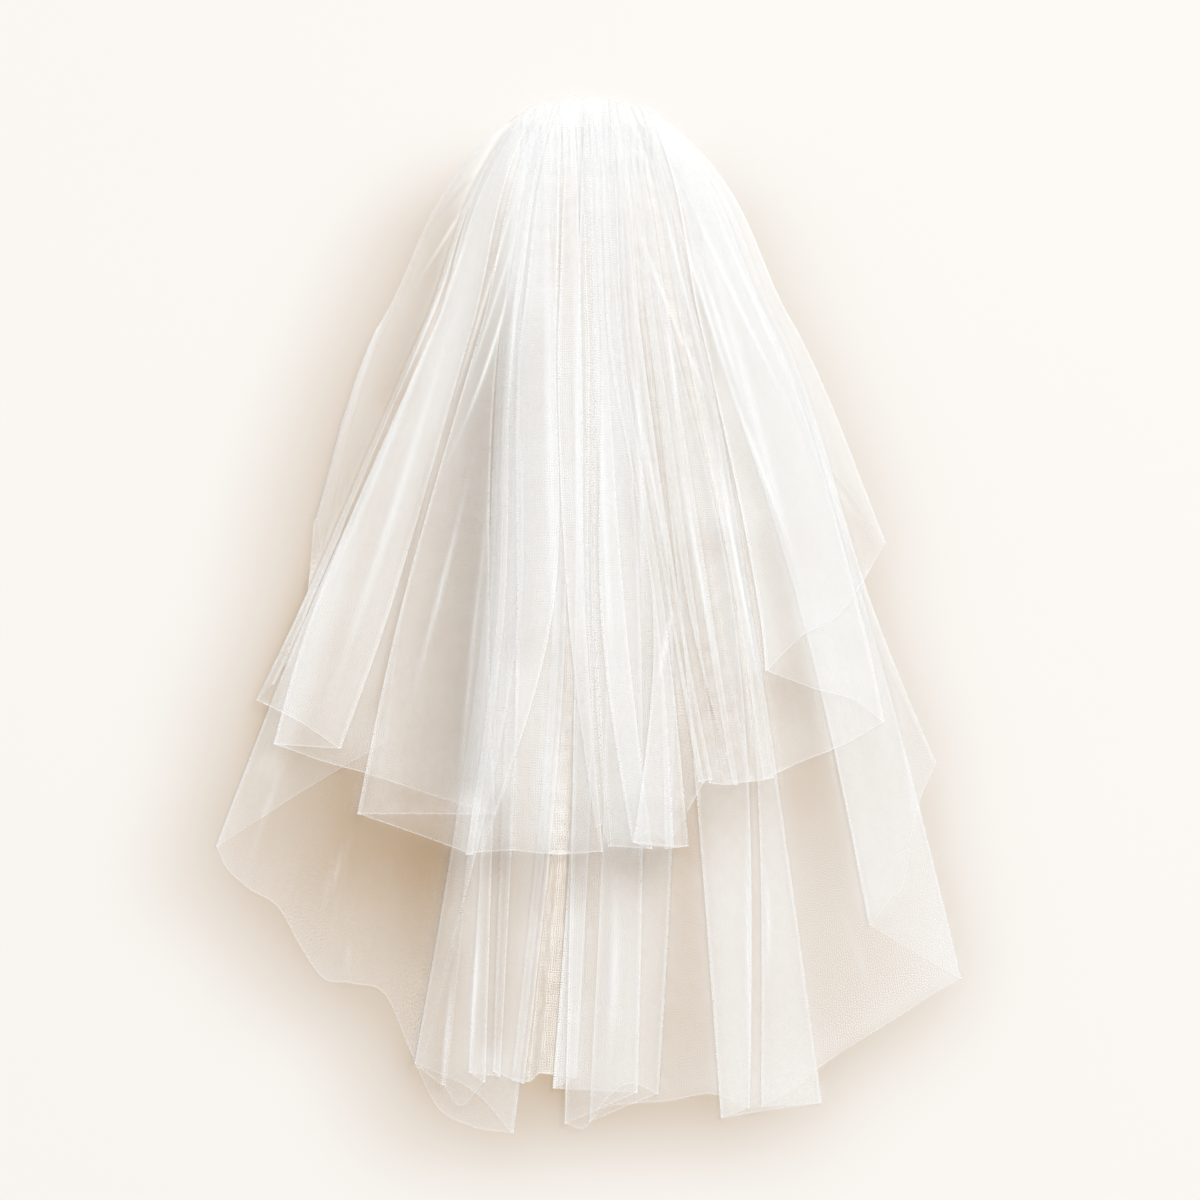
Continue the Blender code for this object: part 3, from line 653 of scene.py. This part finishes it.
class Tier:
    """One tier as a grid of points over its folds, from the head edge to the hem."""

    def __init__(self, table, head_base, base):
        folds, runs = read_folds(table)
        self.length = head_line(0.0) - min(fold.hem[1] for fold in folds)
        last_rows = 1.0 - np.array(HEM_ROWS) * MM / self.length
        rows = np.linspace(0.0, 1.0 - HEM_ROW_START / self.length, ROWS)
        self.stations = np.concatenate([rows, last_rows])
        grids = columns_of(folds, runs, self.stations)
        x, y, level, gather, layers, edges, self.broad, self.flats = grids
        sink = smoothstep((HEAD_Y - y - GATHER_END) / GATHER_FADE)
        window = np.ones(PRESSED_COLUMNS) / PRESSED_COLUMNS
        padded = np.pad(level, ((0, 0), (PRESSED_COLUMNS // 2,) * 2), mode="edge")
        pile_level = np.array([np.convolve(row, window, mode="valid") for row in padded])
        upper_half = 1.0 - smoothstep((self.stations - PRESSED_END[0]) / PRESSED_END[1])
        pressed = PRESSED * (1.0 - self.broad) * upper_half[:, None]
        level = mix(level, pile_level, pressed)
        spacing = LAYER * mix(HEAD_SQUEEZE, 1.0, sink)
        z = mix(head_base, base(x, y), sink) + level * spacing + gather * (1.0 - sink)
        creases, crest = crease_field(x, y)
        from_hem = (1.0 - self.stations)[:, None] * self.length
        self.z = np.maximum(z + gather_field(x, y) + creases, CLOTH_Z)
        gathered = np.exp(-(HEAD_Y - y) / (GATHER_REACH * MM))
        gathered = gathered * (1.0 - np.clip(np.abs(fan(x, y)), 0, 1) ** 3)
        self.body = layers * (1.0 + band_field(x, y, "cloth")) + GATHER_LAYERS * gathered
        # cloth along fold edges, creases and the hem, which also sets where the net gets its
        # painted highlight
        self.lines = edges + crest + HEM_LAYERS * np.exp(-(from_hem / HEM_WIDTH) ** 2)
        self.x, self.y = x, y + ruffle(x, head_line(x) - y)

    def measure(self):
        """The cut's width and length, and its area as it narrows to the gathered edge."""
        points = np.stack([self.x, self.y, self.z], axis=-1)
        lengths = np.linalg.norm(np.diff(points, axis=0), axis=-1).sum(axis=0)
        area = float(np.sum(np.diff(self.flats) * (lengths[1:] + lengths[:-1]) / 2))
        return float(self.flats[-1]), float(lengths.max()), area * (1.0 + TOP_CUT) / 2

    def build(self, name, shade, material):
        mesh = grid_mesh(name, (self.x, self.y, self.z), layers=self.layers, shade=shade)
        mesh.polygons.foreach_set("use_smooth", [True] * len(mesh.polygons))
        loops = np.zeros(len(mesh.loops), np.int32)
        mesh.loops.foreach_get("vertex_index", loops)
        across, along = np.meshgrid(self.flats, self.stations * self.length)
        places = np.stack([across.ravel()[loops], along.ravel()[loops]], axis=-1)
        uv = mesh.uv_layers.new(name="UVMap")
        uv.data.foreach_set("uv", places.astype(np.float32).ravel())
        return place_piece(name, mesh, material)


def grid_mesh(name, grids, **attributes):
    """A mesh over grids of x, y and z, with the values given at its points."""
    corner = np.arange(grids[0].size).reshape(grids[0].shape)
    faces = np.stack([corner[:-1, :-1], corner[1:, :-1], corner[1:, 1:], corner[:-1, 1:]], axis=-1)
    mesh = bpy.data.meshes.new(name)
    points = np.stack(grids, axis=-1).reshape(-1, 3)
    mesh.from_pydata(points.tolist(), [], faces.reshape(-1, 4).tolist())
    for attribute_name, values in attributes.items():
        attribute = mesh.attributes.new(attribute_name, "FLOAT", "POINT")
        attribute.data.foreach_set("value", values.reshape(-1).astype(np.float32))
    return mesh


def place_piece(name, mesh, material):
    mesh.materials.append(material)
    mesh.update()
    piece = bpy.data.objects.new(name, mesh)
    bpy.context.scene.collection.objects.link(piece)
    return piece


def counted(tier, grids, start, cell, counts):
    """How much cloth of a tier lies in each cell of a grid, times each of the values given."""
    x, y = tier.x, tier.y
    across_x, across_y = x[1:, 1:] - x[:-1, :-1], y[1:, 1:] - y[:-1, :-1]
    back_x, back_y = x[1:, :-1] - x[:-1, 1:], y[1:, :-1] - y[:-1, 1:]
    points = len(FACE_ACROSS) * len(FACE_ALONG)
    area = np.abs(across_x * back_y - across_y * back_x) / 2 / points / (cell[0] * cell[1])
    size = counts[0] * counts[1]
    totals = [np.zeros(size) for _ in grids]
    for u in FACE_ACROSS:
        for v in FACE_ALONG:
            at_x, at_y, *values = [(1 - v) * ((1 - u) * grid[:-1, :-1] + u * grid[:-1, 1:])
                                   + v * ((1 - u) * grid[1:, :-1] + u * grid[1:, 1:])
                                   for grid in (x, y, *grids)]
            i = np.clip(((at_x - start[0]) / cell[0]).astype(int), 0, counts[0] - 1)
            j = np.clip(((at_y - start[1]) / cell[1]).astype(int), 0, counts[1] - 1)
            for total, value in zip(totals, values):
                total += np.bincount((i * counts[1] + j).ravel(), (area * value).ravel(), size)
    return [total.reshape(counts) for total in totals]


def even_out(tiers):
    """Lets stacks of narrow pleats blend with the cloth beside them, as many soft layers do."""
    for _ in range(2):
        even_once(tiers)
    for tier in tiers:
        tier.layers = tier.body + tier.lines


def even_once(tiers):
    """Moves the cloth of each place towards the mean of what lies to its left and right."""
    stack, narrow = 0.0, 0.0
    for tier in tiers:
        grids = (tier.body, tier.body * (1.0 - tier.broad))
        body, thin = counted(tier, grids, EVEN_START, EVEN_CELL, EVEN_COUNTS)
        stack, narrow = stack + body, narrow + thin
    there = (stack > EVEN_LEAST).astype(float)

    def smooth_down(values):
        padded = np.pad(values, ((0, 0), (len(EVEN_DOWN) // 2,) * 2))
        return sum(weight * padded[:, k:k + EVEN_COUNTS[1]] for k, weight in enumerate(EVEN_DOWN))

    def wide(values, spread):
        kernel = bell(spread, EVEN_CELL[0])
        return np.array([np.convolve(column, kernel, mode="same") for column in values.T]).T

    def mean(values, weights, spread):
        return wide(values, spread) / np.maximum(wide(weights, spread), EVEN_WEIGHT)

    around = mean(stack, there, EVEN_SPREAD)
    here = mean(smooth_down(stack), smooth_down(there), EVEN_CELL[0])
    narrow = np.clip(mean(narrow, stack, EVEN_SPREAD), 0.0, 1.0)
    share = EVEN_SHARE + EVEN_NARROW * smoothstep(2.0 * narrow)
    ratio = np.clip(around / np.maximum(here, EVEN_LEAST), *EVEN_LIMITS) ** share
    for tier in tiers:
        tier.body = tier.body * between(ratio, tier.x, tier.y, EVEN_START, EVEN_CELL)


def between(values, x, y, start, cell):
    """The value of a grid between the middles of its cells."""
    i = np.clip((x - start[0]) / cell[0] - 0.5, 0, values.shape[0] - 1.001)
    j = np.clip((y - start[1]) / cell[1] - 0.5, 0, values.shape[1] - 1.001)
    a, b = i.astype(int), j.astype(int)
    u, v = i - a, j - b
    return ((values[a, b] * (1 - u) + values[a + 1, b] * u) * (1 - v)
            + (values[a, b + 1] * (1 - u) + values[a + 1, b + 1] * u) * v)


def bell(spread, cell):
    """The weights of a bell curve over the cells of a grid."""
    reach = int(3 * spread / cell)
    weights = np.exp(-(np.arange(-reach, reach + 1) * cell / spread) ** 2)
    return weights / weights.sum()


def blurred(values, spread, cell):
    """Values on a square grid, smoothed by a bell curve both ways."""
    kernel = bell(spread, cell)
    for _ in range(2):
        values = np.array([np.convolve(row, kernel, mode="same") for row in values]).T
    return values


class Pile:
    """How many layers lie at each place, and how thick places shade what is beside them."""

    def __init__(self, tiers):
        self.corner, self.cells = (PILE_START - PILE_CELL / 2,) * 2, (PILE_CELL,) * 2
        counts = (PILE_COUNT,) * 2
        area = [counted(tier, (np.ones_like(tier.x),), self.corner, self.cells, counts)[0]
                for tier in tiers]
        self.raw = area[0] + area[1]
        self.layers = blurred(self.raw, PILE_SPREAD, PILE_CELL)
        upper = blurred(area[1], PILE_SPREAD, PILE_CELL)
        self.lines = PILE_START + np.arange(PILE_COUNT) * PILE_CELL
        sides = beside_mound(self.lines)
        self.giving = np.minimum(upper, UPPER_MOST) / UPPER_MOST
        self.giving = self.giving * (1.0 - (1.0 - SIDE_STAND_OFF) * sides)[:, None]
        clear = 1.0 - np.minimum(upper, 1.0)
        self.hem_shade = HEM_SHADE * self.shifted(self.giving, HEM_SHIFT, HEM_SPREAD) * clear
        heights = np.minimum(self.layers, PILE_MOST) * PILE_LOFT * MM
        self.heights = blurred(heights, PILE_BLUR * MM, PILE_CELL)

    def shifted(self, values, shift, spread):
        """Values moved by whole cells and smoothed."""
        cells = [round(part * MM / PILE_CELL) for part in shift]
        return blurred(np.roll(values, cells, axis=(0, 1)), spread * MM, PILE_CELL)

    def value_at(self, values, x, y):
        return between(values, x, y, self.corner, self.cells)

    def shade(self, tier, under_hem):
        """How far the cloth of a tier is shaded by the pile between it and the light."""
        here = self.value_at(self.heights, tier.x, tier.y)
        total = np.zeros_like(here)
        for side in LIGHT_SIDES:
            steepest = np.zeros_like(here)
            for reach in LIGHT_REACHES:
                x = tier.x + reach * MM * math.cos(math.radians(side))
                y = tier.y + reach * MM * math.sin(math.radians(side))
                rise = self.value_at(self.heights, x, y) - here
                steepest = np.maximum(steepest, rise / ((reach + LIGHT_STAND) * MM))
            total += np.clip(steepest * SHADE_GAIN - SHADE_START, 0.0, 1.0)
        total = total / len(LIGHT_SIDES) + band_field(tier.x, tier.y, "shade")
        if under_hem:
            total = total + self.value_at(self.hem_shade, tier.x, tier.y)
        return np.clip(total, 0.0, 1.0)


# ---- materials
NET_SCALE = 520.0           # cells of the net in a metre
NET_RANDOM = 0.8
THREADS = (-1.2, 0.18)      # cover that a thread adds: its fall beside it, and the most
STREAK_SCALE = (260.0, 9.0, 1.0)    # in a metre, across the cut and along it
STREAKS = (0.06, -0.03)     # what streaks add: the range and its start
CLOUD_SCALE = 22.0
CLOUDS = (0.10, -0.05)      # and clouds
COVER_LIMITS = (0.05, 0.95)
SHADOW_LESS = -0.85
NET_LEAN = 0.2
FROM_BEHIND = 0.2           # share of the light that comes through from behind


class Nodes:
    """Short calls to build a material's node tree."""

    def __init__(self, name):
        self.material = bpy.data.materials.new(name)
        self.material.use_nodes = True
        self.tree = self.material.node_tree
        self.tree.nodes.clear()

    def add(self, kind, inputs=None, **settings):
        node = self.tree.nodes.new(kind)
        for key, value in settings.items():
            setattr(node, key, value)
        for key, value in (inputs or {}).items():
            if isinstance(value, bpy.types.NodeSocket):
                self.tree.links.new(value, node.inputs[key])
            else:
                node.inputs[key].default_value = value
        return node

    def math(self, operation, *values):
        return self.add("ShaderNodeMath", dict(enumerate(values)), operation=operation).outputs[0]

    def cloud(self, place, scale, detail, dimensions="3D"):
        return self.add("ShaderNodeTexNoise", {"Vector": place, "Scale": scale, "Detail": detail},
                        noise_dimensions=dimensions).outputs["Fac"]

    def value(self, name):
        return self.add("ShaderNodeAttribute", attribute_name=name).outputs["Fac"]

    def mixed(self, share, one, other):
        return self.add("ShaderNodeMix", {0: share, 6: one, 7: other}, data_type="RGBA").outputs[2]

    def ramp(self, share, *colours):
        node = self.add("ShaderNodeValToRGB", {"Fac": share})
        for element, colour in zip(node.color_ramp.elements, colours):
            element.color = (*colour, 1.0)
        return node.outputs["Color"]

    def finish(self, shader):
        self.add("ShaderNodeOutputMaterial", {"Surface": shader})
        return self.material


def tulle(name, cover, colour, back):
    """Soft net: one layer covers the share cover, and an attribute says how many lie there."""
    n = Nodes(name)
    uv = n.add("ShaderNodeUVMap", uv_map="UVMap").outputs[0]
    cells = {"Vector": uv, "Scale": NET_SCALE, "Randomness": NET_RANDOM}
    net = n.add("ShaderNodeTexVoronoi", cells, voronoi_dimensions="2D",
                feature="DISTANCE_TO_EDGE").outputs["Distance"]
    thread = n.math("MULTIPLY_ADD", net, *THREADS)
    stretched = n.add("ShaderNodeMapping", {"Vector": uv, "Scale": STREAK_SCALE}).outputs[0]
    streak = n.cloud(stretched, 1.0, 3.0, "2D")
    cloud = n.cloud(uv, CLOUD_SCALE, 2.0, "2D")
    layers = n.value("layers")
    share = n.math("ADD", cover, thread)
    share = n.math("ADD", share, n.math("MULTIPLY_ADD", streak, *STREAKS))
    share = n.math("ADD", share, n.math("MULTIPLY_ADD", cloud, *CLOUDS))
    share = n.math("MINIMUM", n.math("MAXIMUM", share, COVER_LIMITS[0]), COVER_LIMITS[1])
    open_share = n.math("SUBTRACT", 1.0, share)
    # light that reaches the cloth beneath has also bounced from thread to thread, so less is lost
    bounced = n.add("ShaderNodeLightPath").outputs["Is Shadow Ray"]
    thin = n.math("MULTIPLY", layers, n.math("MULTIPLY_ADD", bounced, SHADOW_LESS, 1.0))
    through = n.math("POWER", open_share, thin)
    # round threads catch the light much alike however the net leans, so its shading leans less
    facing = n.add("ShaderNodeNewGeometry").outputs["Normal"]
    upright = (0.0, 0.0, 1.0 - NET_LEAN)
    lean = n.add("ShaderNodeVectorMath", {0: facing, 1: (NET_LEAN,) * 3, 2: upright},
                 operation="MULTIPLY_ADD").outputs[0]
    # painted shade from the shade attribute, then a painted highlight where the layers double the
    # net
    painted_colour = n.mixed(n.value("shade"), (*colour, 1.0), CLOTH_SHADE)
    limits = {"Value": layers, 1: HIGHLIGHT_LAYERS[0], 2: HIGHLIGHT_LAYERS[1]}
    highlight_share = n.add("ShaderNodeMapRange", limits).outputs[0]
    painted_colour = n.mixed(highlight_share, painted_colour, EDGE_HIGHLIGHT)
    front = n.add("ShaderNodeBsdfDiffuse", {"Color": painted_colour, "Normal": lean}).outputs[0]
    behind = n.add("ShaderNodeBsdfTranslucent", {"Color": (*back, 1.0)}).outputs[0]
    cloth = n.add("ShaderNodeMixShader", {"Fac": FROM_BEHIND, 1: front, 2: behind}).outputs[0]
    clear = n.add("ShaderNodeBsdfTransparent", {"Color": (1.0, 1.0, 1.0, 1.0)}).outputs[0]
    return n.finish(n.add("ShaderNodeMixShader", {"Fac": through, 1: cloth, 2: clear}).outputs[0])


def plastic(name):
    """Milky comb plastic with faint clouds in it."""
    n = Nodes(name)
    place = n.add("ShaderNodeTexCoord").outputs["Object"]
    cloud = n.cloud(place, 60.0, 3.0)
    colour = n.ramp(cloud, (0.80, 0.79, 0.75), (0.90, 0.89, 0.87))
    rough = n.math("MULTIPLY_ADD", cloud, 0.15, 0.18)
    shader = n.add("ShaderNodeBsdfPrincipled", {
        "Base Color": colour, "Roughness": rough, "IOR": 1.49,
        "Subsurface Weight": 0.15, "Subsurface Scale": 0.004})
    return n.finish(shader.outputs[0])


def floor_material():
    """Warm white paper that its shade attribute darkens."""
    n = Nodes("floor_paper")
    place = n.add("ShaderNodeTexCoord").outputs["Object"]
    paper = n.ramp(n.cloud(place, 3.0, 4.0), (0.795, 0.783, 0.764), (0.805, 0.795, 0.778))
    shaded = n.mixed(n.value("shade"), paper, FLOOR_SHADE)
    return n.finish(n.add("ShaderNodeBsdfDiffuse", {"Color": shaded}).outputs[0])


def make_floor(pile):
    """A floor that darkens softly under the cloth and a little way round it."""
    lines = pile.lines
    cover = np.zeros_like(pile.layers)
    thin, thick = THICK_LAYERS
    givers = {"both": np.minimum(pile.layers, 1.0),
              "thick": np.clip((pile.layers - thin) / (thick - thin), 0.0, 1.0),
              "upper": pile.giving}
    veil = 2.0 * blurred(np.minimum(pile.raw, 1.0), VEIL_SPREAD, PILE_CELL) - 1.0
    veil = np.clip(veil, 0.0, 1.0)
    falls = {"floor": 1.0,
             "veil": veil * smoothstep((STAND_OFF[0] - lines / MM) / STAND_OFF[1])[None, :]}
    for _, giver, where, shift, spread, share in FLOOR_SHADES:
        cover += share * pile.shifted(givers[giver], shift, spread) * falls[where]
    right = smoothstep((lines / MM - LIT_CORNER[0]) / LIT_FADE[0])
    low = smoothstep((LIT_CORNER[1] - lines / MM) / LIT_FADE[1])
    cover = cover * (1.0 - LIT_SHARE * right[:, None] * low[None, :] * veil)
    cover = np.clip(cover, 0.0, 1.0) * (1.0 - smoothstep((lines / MM - SHADE_TOP) / SHADE_FADE))
    lines = np.concatenate([[-FLOOR_HALF], lines, [FLOOR_HALF]])
    x, y = np.meshgrid(lines, lines, indexing="ij")
    mesh = grid_mesh("floor", (x, y, np.full_like(x, FLOOR_Z)), shade=np.pad(cover, 1))
    place_piece("floor", mesh, floor_material())


# ---- the pieces
lower_net = tulle("tulle_lower", 0.24, (0.875, 0.893, 0.910), (0.83, 0.84, 0.84))
upper_net = tulle("tulle_upper", 0.26, (0.89, 0.908, 0.922), (0.85, 0.86, 0.86))
lower_form = Tier(LOWER_FOLDS, LOWER_HEAD, lower_base)
upper_form = Tier(UPPER_FOLDS, UPPER_HEAD, upper_base)
even_out((lower_form, upper_form))
pile = Pile((lower_form, upper_form))
lower = lower_form.build("lower_tier_cloth", pile.shade(lower_form, True), lower_net)
upper = upper_form.build("upper_tier_cloth", pile.shade(upper_form, False), upper_net)
for piece, node, slot in ((lower, "lower_tier", "lower_tulle"),
                          (upper, "upper_tier", "upper_tulle")):
    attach(piece, "root")
    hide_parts(node)
for piece, form, under in ((lower, lower_form, "floor"), (upper, upper_form, "lower_tier")):
    width, length, area = form.measure()

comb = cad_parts["comb"]
comb.data.materials.clear()
comb.data.materials.append(plastic("comb_plastic_milky"))

# ---- stage, light and camera
make_floor(pile)

KEY_PLACE = (10.0, 11.5, 21.25)     # metres
KEY_SIZE = 11.25
KEY_POWER = 5800.0
KEY_COLOUR = (1.0, 0.995, 0.985)
SKY_COLOUR = (1.0, 0.965, 0.93, 1.0)
SKY_STRENGTH = 0.535
FRAME_WIDTH = 0.9           # what the picture takes in, in metres
FRAME_CENTRE = (8.6 * MM, 13.1 * MM)
CAMERA_HEIGHT = 4.0
SENSOR_WIDTH = 36.0

scene = bpy.context.scene
key_data = bpy.data.lights.new("key", "AREA")
key_data.shape = "DISK"
key_data.size = KEY_SIZE
key_data.energy = KEY_POWER
key_data.color = KEY_COLOUR
key = bpy.data.objects.new("key", key_data)
key.location = KEY_PLACE
key.rotation_euler = Vector(-np.array(KEY_PLACE)).to_track_quat("-Z", "Y").to_euler()
scene.collection.objects.link(key)
world = bpy.data.worlds.new("studio")
world.use_nodes = True
background = world.node_tree.nodes["Background"]
background.inputs["Color"].default_value = SKY_COLOUR
background.inputs["Strength"].default_value = SKY_STRENGTH
scene.world = world
scene.view_settings.view_transform = "Standard"
scene.cycles.transparent_max_bounces = 64       # the net lies many layers deep

camera_data = bpy.data.cameras.new("camera")
camera_data.sensor_width = SENSOR_WIDTH
camera_data.lens = SENSOR_WIDTH * CAMERA_HEIGHT / FRAME_WIDTH
camera = bpy.data.objects.new("camera", camera_data)
camera.location = (*FRAME_CENTRE, CAMERA_HEIGHT)
scene.collection.objects.link(camera)
bpy.context.scene.camera = camera
